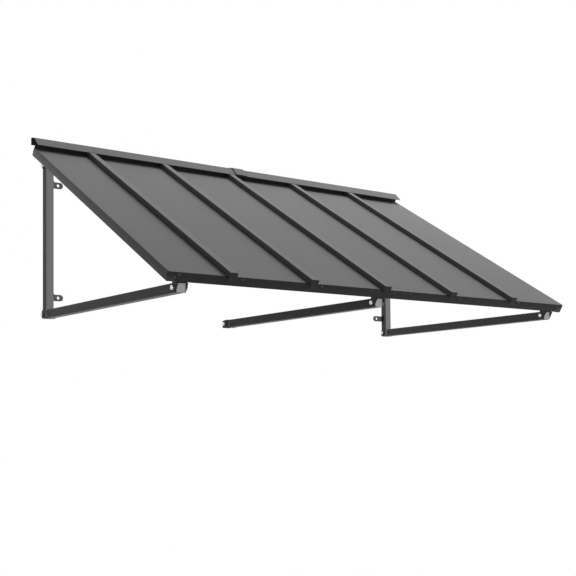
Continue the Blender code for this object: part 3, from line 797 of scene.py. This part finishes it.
PLUG_SCREW_X = 0.8385
PLUG_SCREW_ABOVE = -0.0165
for side, sign in (("left", -1), ("right", 1)):
    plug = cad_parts[f"rafter_plug_{side}_front"]
    plug_face = min((vertex.co - front_corner).dot(slope) for vertex in plug.data.vertices)
    place = on_roof(sign * PLUG_SCREW_X, plug_face, PLUG_SCREW_ABOVE)
    put(round_screw, f"plug_screw_{side}", facing(place, -slope), "frame", screw_steel)
drop(round_screw)
print("rail screws", len(RAIL_SCREWS), "plug face at", round(plug_face, 4))

# %% [markdown]
# ## Sunk screws in the rafters
# The side folds of the outer pans are screwed to the rafters. Nothing may stand out there,
# because the fold is the widest part of the awning, so the fold is punched and a flat head sits
# in each hole, level with the sheet. The pan of the frame can't be cut, so a copy of it is. Its
# triangles are loose, so the copy's corners are merged first, and a Boolean modifier then cuts
# the holes. The copy stands for the pan from here on.

# %% Punch the side folds
SIDE_SCREWS = ((0.018, -0.0060), (0.953, -0.0066), (0.970, -0.0066), (1.041, -0.0060))
FLAT_HEAD_RADIUS = 0.0038
HOLE_RADIUS = 0.0042
CUTTER_LENGTH = 0.0040
MERGE_DISTANCE = 0.000002
FLAT_ROUNDING = 0.0003
FLAT_SUNK = 0.0001


def merged_copy(name):
    """A free copy of a solid of the frame, with its loose corners merged."""
    rest()
    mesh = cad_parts[name].data.copy()
    copy = bpy.data.objects.new(name + "_copy", mesh)
    scene.collection.objects.link(copy)
    edit(copy)
    bpy.ops.mesh.select_all(action="SELECT")
    bpy.ops.mesh.remove_doubles(threshold=MERGE_DISTANCE)
    rest()
    return copy


def punch(model, places, outward):
    """Cut round holes through a model's side fold."""
    cutters = []
    for place in places:
        rest()
        bpy.ops.mesh.primitive_cylinder_add(vertices=32, radius=HOLE_RADIUS, depth=CUTTER_LENGTH)
        cutter = begun("punch")
        cutter.data.transform(facing(place, outward, slope))
        hole = model.modifiers.new("Hole", "BOOLEAN")
        hole.operation = "DIFFERENCE"
        hole.solver = "EXACT"
        hole.object = cutter
        cutters.append(cutter)
    apply_all(model)
    for cutter in cutters:
        drop(cutter)


edge_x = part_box("roof_pan_6")[1].x
side_places = {}
for side, sign, pan_name in (("left", -1, "roof_pan_1"), ("right", 1, "roof_pan_6")):
    side_places[side] = [on_roof(sign * edge_x, up_slope, above) for up_slope, above in SIDE_SCREWS]
    pan = merged_copy(pan_name)
    punch(pan, side_places[side], along_wall * sign)
    punched = put(pan, pan_name + "_punched", Matrix.Identity(4), "frame", sheet_coat)
    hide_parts(pan_name)
    drop(pan)
    print(punched.name, len(punched.data.polygons), "faces")

# %% Flat heads in the holes
flat_screw = screw_model(FLAT_HEAD_RADIUS, SHEET, FLAT_ROUNDING)
for side, sign in (("left", -1), ("right", 1)):
    for number, place in enumerate(side_places[side]):
        seat = place - along_wall * sign * (SHEET + FLAT_SUNK)
        put(flat_screw, f"rafter_screw_{side}_{number + 1}", facing(seat, along_wall * sign, slope),
            "frame", screw_steel)
drop(flat_screw)
print("rafter screws", 2 * len(SIDE_SCREWS))

# %% [markdown]
# ## Sealant at the top corners
# At the top end of every seam the pan's side leg and its end upstand meet in an open corner. A
# fitter closes it with a dab of dark sealant, or rain would be blown in under the flashing. The
# dab is a small block with strongly rounded edges, pulled a little out of true.

# %% Sealant dabs
DAB_SIZE = (0.0040, 0.0042, 0.0125)
DAB_OFFSET = 0.0126
DAB_UP_SLOPE = 1.0706
DAB_ABOVE = 0.0074
DAB_UNEVEN = 0.0002


def dab_model():
    """A rounded block of sealant about the origin."""
    rest()
    bpy.ops.mesh.primitive_cube_add(size=1.0, scale=DAB_SIZE)
    dab = begun("dab_model")
    edit(dab)
    bpy.ops.mesh.select_all(action="SELECT")
    bpy.ops.mesh.subdivide(number_cuts=2)
    bpy.ops.transform.vertex_random(offset=DAB_UNEVEN, seed=3)
    rest()
    soften = dab.modifiers.new("Rounded", "SUBSURF")
    soften.levels = 2
    soften.render_levels = 2
    apply_all(dab)
    smooth(dab, 80)
    return dab


dab = dab_model()
for number, seam_x in enumerate(seams):
    for label, sign in (("left", -1), ("right", 1)):
        place = on_roof(seam_x + sign * DAB_OFFSET, DAB_UP_SLOPE, DAB_ABOVE)
        put(dab, f"sealant_{number + 1}_{label}", facing(place, lift), "frame", sealant_and_painted_shadow)
drop(dab)
print("dabs", 2 * len(seams))

# %% [markdown]
# ## Painted shadow along the strap
# A strap covers the joint between the two lengths of flashing. Beside its left edge lies a thin
# bead of the dark sealant material, which shows as a dark line and is painted shadow: it stands in
# for the shadow of the edge. The line has to follow every fold of the strap, so it is cut from a
# copy of the strap with bisect, and the slice is moved beside the edge.

# %% Strap edge painted shadow
SLICE = 0.0022
ROUNDING = 0.0008

strap = merged_copy("flashing_strap")
strap_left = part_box("flashing_strap")[0].x
edit(strap)
bpy.ops.mesh.select_all(action="SELECT")
bpy.ops.mesh.bisect(plane_co=(strap_left + SLICE, 0.0, 0.0), plane_no=(1.0, 0.0, 0.0), use_fill=True,
                    clear_outer=True)
bpy.ops.mesh.select_all(action="SELECT")
bpy.ops.transform.translate(value=(-SLICE, 0.0, 0.0))
pick_faces(lambda place, normal: normal.x < -0.99)
bpy.ops.mesh.inset(thickness=ROUNDING * 0.3, depth=ROUNDING * 0.7)
bpy.ops.mesh.inset(thickness=ROUNDING * 0.5, depth=ROUNDING * 0.3)
rest()
# The dark bead beside the strap's left edge is painted shadow.
put(strap, "strap_edge_painted_shadow", Matrix.Identity(4), "frame", sealant_and_painted_shadow)
drop(strap)
print("strap edge at", round(strap_left, 4))

# %% [markdown]
# ## Weld beads
# Each arm ends in a fork that is welded on. Two upright beads show, where the tube's sides
# meet the fork's plate. A bead is a row of small frozen pools, so a short round bar is extruded
# ring after ring, and every second ring is drawn in.

# %% Weld bead model
BEAD_LENGTH = 0.0270
BEAD_RINGS = 18
BEAD_WAIST = 0.0014
BEAD_SWELL = 1.28
BEAD_SEAT = 0.0002
WEB_FACE = 0.0205


def bead_model():
    """A rippled bead from z = 0 upwards."""
    rest()
    step = BEAD_LENGTH / (2 * BEAD_RINGS)
    bpy.ops.mesh.primitive_cylinder_add(vertices=14, radius=BEAD_WAIST, depth=step,
                                        location=(0.0, 0.0, step / 2))
    bead = begun("bead_model")
    edit(bead)
    pick_faces(lambda place, normal: normal.z > 0.9)
    for ring in range(2 * BEAD_RINGS - 1):
        bpy.ops.mesh.extrude_region_move(TRANSFORM_OT_translate={"value": (0.0, 0.0, step)})
        growth = BEAD_SWELL if ring % 2 == 0 else 1 / BEAD_SWELL
        bpy.ops.transform.resize(value=(growth, growth, 1.0))
    rest()
    smooth(bead, 60)
    return bead


bead = bead_model()
for side in ("left", "centre", "right"):
    low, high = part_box(f"arm_{side}")
    bolt_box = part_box("pivot_bolt_centre_wall" if side == "centre" else f"pivot_bolt_{side}_foot")
    pivot_y = (bolt_box[0].y + bolt_box[1].y) / 2
    middle_x = (low.x + high.x) / 2
    body = "centre_arm" if side == "centre" else "frame"
    for label, sign in (("left", -1), ("right", 1)):
        place = Vector((
            middle_x + sign * (TUBE / 2 + BEAD_SEAT),
            pivot_y - WEB_FACE - BEAD_SEAT,
            low.z + (TUBE - BEAD_LENGTH) / 2,
        ))
        put(bead, f"weld_{side}_{label}", Matrix.Translation(place), body, bracket_coat)
drop(bead)
print("beads", len([piece for piece in made if piece.name.startswith("weld")]))

# %% [markdown]
# ## Floor, world and lights
# The awning hangs on a wall that isn't there, so the floor lies well below it and only
# catches a soft shadow. It fades into the white background a short way out, and it is
# see-through from below. The world is white to the eye and in reflections, and a dim grey as a
# light, so that the shapes stay readable.
#
# A wide key light hangs high behind the right end. It brightens the roof from left to right
# and leaves the rail and the left flanks of the battens dark, as in the picture. A weak back
# light lifts the undersides. The posts would be nearly black in the roof's shade, but the
# picture shows their fronts about as light as the roof. A front light reaches them because
# light linking lets it act only on the pieces in the shade, as if the roof didn't stand in its
# way. A weak side light does the same for the left rafter. The lamps don't show in the picture
# or in the gloss.

# %% Floor
FLOOR_LEVEL = -1.15
FLOOR_RADIUS = 14.0
FADE_START = 0.9
FADE_END = 1.7
FLOOR_GREY = (0.90, 0.90, 0.90, 1.0)
DULL_GREY = (0.20, 0.20, 0.20, 1.0)

rest()
bpy.ops.mesh.primitive_circle_add(vertices=96, radius=FLOOR_RADIUS, fill_type="NGON",
                                  location=(0.0, 0.0, FLOOR_LEVEL))
floor = bpy.context.object
floor.name = "floor"
rest()


def bare_tree(block):
    """Turn on a block's nodes and empty its tree."""
    block.use_nodes = True
    for node in list(block.node_tree.nodes):
        block.node_tree.nodes.remove(node)
    return block.node_tree


def mixed(tree, factor, first, second):
    """A Mix Shader between two shaders; its output socket."""
    node = tree.nodes.new("ShaderNodeMixShader")
    for index, socket in enumerate((factor, first, second)):
        tree.links.new(socket, node.inputs[index])
    return node.outputs[0]


def seen_rays(tree):
    """1 for rays that see the background: camera, glossy and transmission."""
    path = tree.nodes.new("ShaderNodeLightPath")
    value = maths(tree, "MAXIMUM", path.outputs["Is Camera Ray"], path.outputs["Is Glossy Ray"])
    return maths(tree, "MAXIMUM", value, path.outputs["Is Transmission Ray"])


paper = bpy.data.materials.new("pale floor")
tree = bare_tree(paper)
distance = tree.nodes.new("ShaderNodeVectorMath")
distance.operation = "LENGTH"
tree.links.new(tree.nodes.new("ShaderNodeTexCoord").outputs["Object"], distance.inputs[0])
fade = tree.nodes.new("ShaderNodeMapRange")
fade.interpolation_type = "SMOOTHSTEP"
fade.inputs["From Min"].default_value = FADE_START
fade.inputs["From Max"].default_value = FADE_END
tree.links.new(distance.outputs["Value"], fade.inputs["Value"])

matt = tree.nodes.new("ShaderNodeBsdfDiffuse")
matt.inputs["Color"].default_value = FLOOR_GREY
dull = tree.nodes.new("ShaderNodeBsdfDiffuse")
dull.inputs["Color"].default_value = DULL_GREY
white = tree.nodes.new("ShaderNodeEmission")
clear = tree.nodes.new("ShaderNodeBsdfTransparent")
underside = tree.nodes.new("ShaderNodeNewGeometry").outputs["Backfacing"]
faded = mixed(tree, fade.outputs["Result"], matt.outputs[0], white.outputs[0])
seen = mixed(tree, seen_rays(tree), dull.outputs[0], faded)
sided = mixed(tree, underside, seen, clear.outputs[0])
tree.links.new(sided, tree.nodes.new("ShaderNodeOutputMaterial").inputs["Surface"])
floor.data.materials.append(paper)
print("floor at", FLOOR_LEVEL)

# %% World and lights
FILL_STRENGTH = 0.11

world = bpy.data.worlds.new("studio")
scene.world = world
tree = bare_tree(world)
fill = tree.nodes.new("ShaderNodeBackground")
fill.inputs["Color"].default_value = (1.0, 1.0, 1.0, 1.0)
fill.inputs["Strength"].default_value = FILL_STRENGTH
bright = tree.nodes.new("ShaderNodeBackground")
bright.inputs["Color"].default_value = (1.0, 1.0, 1.0, 1.0)
either = mixed(tree, seen_rays(tree), fill.outputs[0], bright.outputs[0])
tree.links.new(either, tree.nodes.new("ShaderNodeOutputWorld").inputs["Surface"])


def soft_light(name, place, aim, size, power):
    """A square area light at a place, facing a point."""
    data = bpy.data.lights.new(name, "AREA")
    data.shape = "SQUARE"
    data.size = size
    data.energy = power
    lamp = bpy.data.objects.new(name, data)
    outward = Vector(place) - Vector(aim)
    lamp.matrix_world = facing(Vector(place), outward)
    lamp.visible_camera = False
    lamp.visible_glossy = False
    scene.collection.objects.link(lamp)
    return lamp


AWNING_MIDDLE = (0.0, 0.0, 0.3)
KEY_PLACE = (2.0, 0.8, 4.4)
KEY_SIZE = 3.4
KEY_POWER = 292.0
BACK_PLACE = (0.3, 3.4, -0.80)
BACK_SIZE = 1.6
BACK_POWER = 70.0
FRONT_PLACE = (0.8, -4.6, 2.6)
FRONT_SIZE = 1.2
FRONT_POWER = 345.0
SIDE_PLACE = (-1.75, 1.0, 0.45)
SIDE_AIM = (-0.86, 0.2, 0.4)
SIDE_SIZE = 0.5
SIDE_POWER = 4.0
soft_light("key light", KEY_PLACE, AWNING_MIDDLE, KEY_SIZE, KEY_POWER)
soft_light("back light", BACK_PLACE, AWNING_MIDDLE, BACK_SIZE, BACK_POWER)
front_light = soft_light("front light", FRONT_PLACE, AWNING_MIDDLE, FRONT_SIZE, FRONT_POWER)
side_light = soft_light("side light", SIDE_PLACE, SIDE_AIM, SIDE_SIZE, SIDE_POWER)

IN_SHADE = ("post", "arm_plug", "pivot_bolt", "wall_clip", "weld")
SIDE_ARMS = ("arm_left", "arm_right")
LEFT_RAFTER = ("rafter_left", "roof_pan_1")


def pieces_named(label, starts):
    """A collection of the nodes and made pieces whose names start in one of these ways."""
    group = bpy.data.collections.new(label)
    for piece in [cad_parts[name] for name in sorted(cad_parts)] + made:
        if piece.name.startswith(starts):
            group.objects.link(piece)
    return group


shaded = pieces_named("pieces in the roof's shade", IN_SHADE + SIDE_ARMS)
front_light.light_linking.receiver_collection = shaded
front_light.light_linking.blocker_collection = pieces_named("pieces that cast its shadow", IN_SHADE)
side_light.light_linking.receiver_collection = pieces_named("left rafter and its fold", LEFT_RAFTER)
